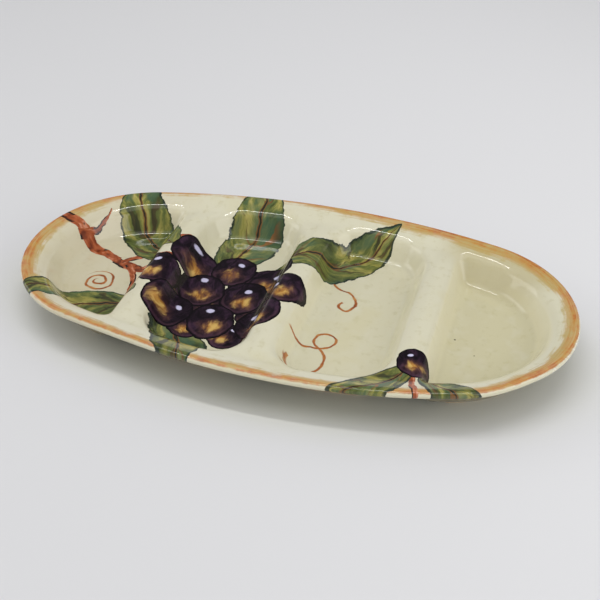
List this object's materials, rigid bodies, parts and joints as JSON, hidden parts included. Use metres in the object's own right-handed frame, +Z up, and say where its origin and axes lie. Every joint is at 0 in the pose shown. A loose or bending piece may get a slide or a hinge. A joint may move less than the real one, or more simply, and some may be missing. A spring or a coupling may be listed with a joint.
{
  "type": "relish tray",
  "caption": "Oval glazed earthenware relish tray: a sloping rim with a painted lip, side-by-side rounded wells between soft dividers, and low foot rings.",
  "frame": {"origin": "under the middle of the tray, on the surface that it stands on", "axes": "+X along the tray's length, +Y towards its rear, +Z up out of the wells"},
  "size_m": [0.4196, 0.22, 0.036],
  "materials": {
    "glazed_body": "gloss",
    "painted_rim": "gloss",
    "unglazed_foot": "matte"
  },
  "bodies": {
    "root": {"rim_lip": "painted_rim", "rim_flange": "glazed_body", "shoulder_ring": "glazed_body", "left_divider": "glazed_body", "centre_divider": "glazed_body", "right_divider": "glazed_body", "left_end_wall": "glazed_body", "left_middle_wall": "glazed_body", "right_middle_wall": "glazed_body", "right_end_wall": "glazed_body", "left_end_floor": "glazed_body", "left_middle_floor": "glazed_body", "right_middle_floor": "glazed_body", "right_end_floor": "glazed_body", "left_end_foot": "unglazed_foot", "left_middle_foot": "unglazed_foot", "right_middle_foot": "unglazed_foot", "right_end_foot": "unglazed_foot"}
  },
  "joints": []
}
